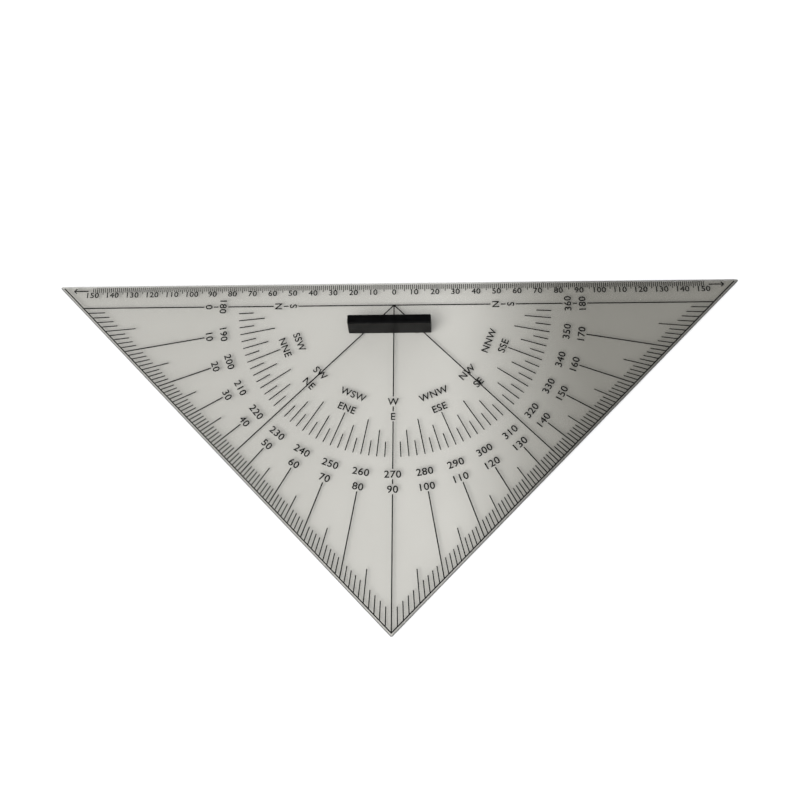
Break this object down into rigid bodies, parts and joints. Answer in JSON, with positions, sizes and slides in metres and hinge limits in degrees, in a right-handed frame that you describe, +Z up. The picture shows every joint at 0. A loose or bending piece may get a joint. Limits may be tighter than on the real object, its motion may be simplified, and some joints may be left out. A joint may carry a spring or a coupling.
{
  "type": "navigation triangle",
  "caption": "Clear right-angled chart triangle with printed course protractor, compass rose, ruler on the long edge and a lift-off black bar handle.",
  "frame": {"origin": "centre of the protractor's base line, on the flat underside of the plate", "axes": "+X along the long edge to the 180 degree end, +Y from the right-angle corner towards the long edge, +Z up out of the printed face"},
  "size_m": [0.3338, 0.1677, 0.0145],
  "materials": {
    "clear_acrylic": "polished transparent acrylic sheet with a faint smoky beige tint",
    "black_ink": "satin black screen-printed ink",
    "black_plastic": "semi-gloss moulded black plastic"
  },
  "bodies": {
    "triangle": {"plate": "clear_acrylic", "border_lines": "black_ink", "base_line": "black_ink", "course_lines": "black_ink", "degree_rays": "black_ink", "five_degree_ticks": "black_ink", "degree_ticks": "black_ink", "course_numerals": "black_ink", "reciprocal_numerals": "black_ink", "point_ticks": "black_ink", "half_point_ticks": "black_ink", "quarter_point_ticks": "black_ink", "east_letters": "black_ink", "west_letters": "black_ink", "centimetre_ticks": "black_ink", "millimetre_ticks": "black_ink", "ruler_numbers": "black_ink", "ruler_arrows": "black_ink"},
    "handle": {"grip_bar": "black_plastic", "left_peg": "black_plastic", "right_peg": "black_plastic"}
  },
  "joints": [
    {"name": "handle_lift", "type": "slide", "parent": "triangle", "child": "handle", "axis": [0, 0, 1], "range_m": [0, 0.01]}
  ]
}
